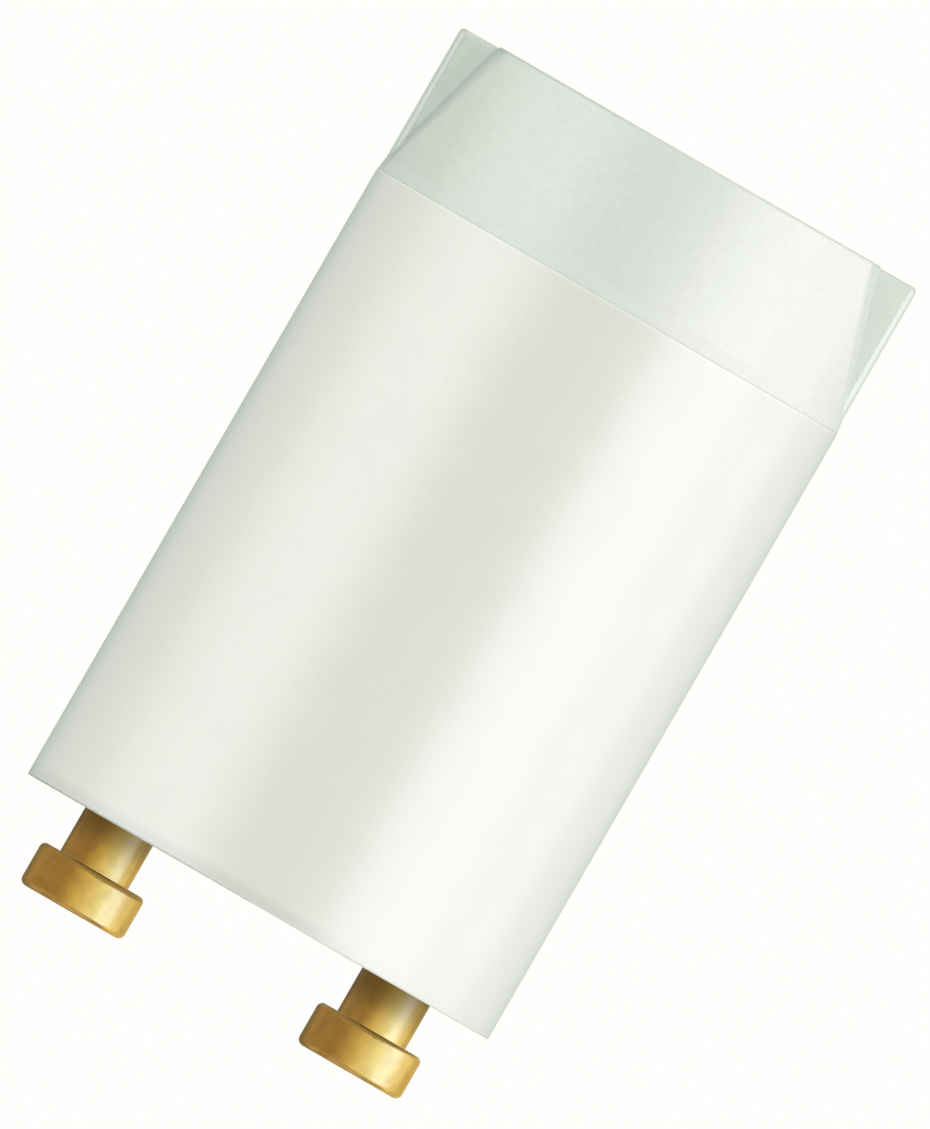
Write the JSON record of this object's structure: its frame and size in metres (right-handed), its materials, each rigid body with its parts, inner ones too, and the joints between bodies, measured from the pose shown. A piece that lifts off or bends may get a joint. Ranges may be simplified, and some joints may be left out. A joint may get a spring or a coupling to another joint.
{
  "type": "fluorescent lamp glow starter",
  "caption": "Round moulded starter with a winged grip end and two headed contact pins, holding a glow bulb with a bimetal strip and a capacitor.",
  "frame": {"origin": "centre of the flat grip end that the starter stands on", "axes": "+Z along the can's axis from the grip end to the contact pins, +X through both pins and both wings"},
  "size_m": [0.021, 0.021, 0.0382],
  "materials": {
    "can_plastic": "satin white moulding",
    "plate_plastic": "matt",
    "pin_brass": "satin, tumbled",
    "solder": "bright tin",
    "bulb_glass": "clear",
    "lead_wire": "tinned wire",
    "bimetal": "rolled strip",
    "electrode_nickel": "drawn rod",
    "capacitor_film": "glossy wrapped film",
    "sprayed_metal": "rough sprayed zinc"
  },
  "bodies": {
    "root": {"housing": "can_plastic", "base_plate": "plate_plastic", "contact_pin_left": "pin_brass", "contact_pin_right": "pin_brass", "solder_joint_left": "solder", "solder_joint_right": "solder", "bulb_envelope": "bulb_glass", "bulb_lead_left": "lead_wire", "bulb_lead_right": "lead_wire", "bimetal_strip": "bimetal", "fixed_electrode": "electrode_nickel", "capacitor_roll": "capacitor_film", "capacitor_end_left": "sprayed_metal", "capacitor_end_right": "sprayed_metal", "capacitor_lead_left": "lead_wire", "capacitor_lead_right": "lead_wire"}
  },
  "joints": []
}
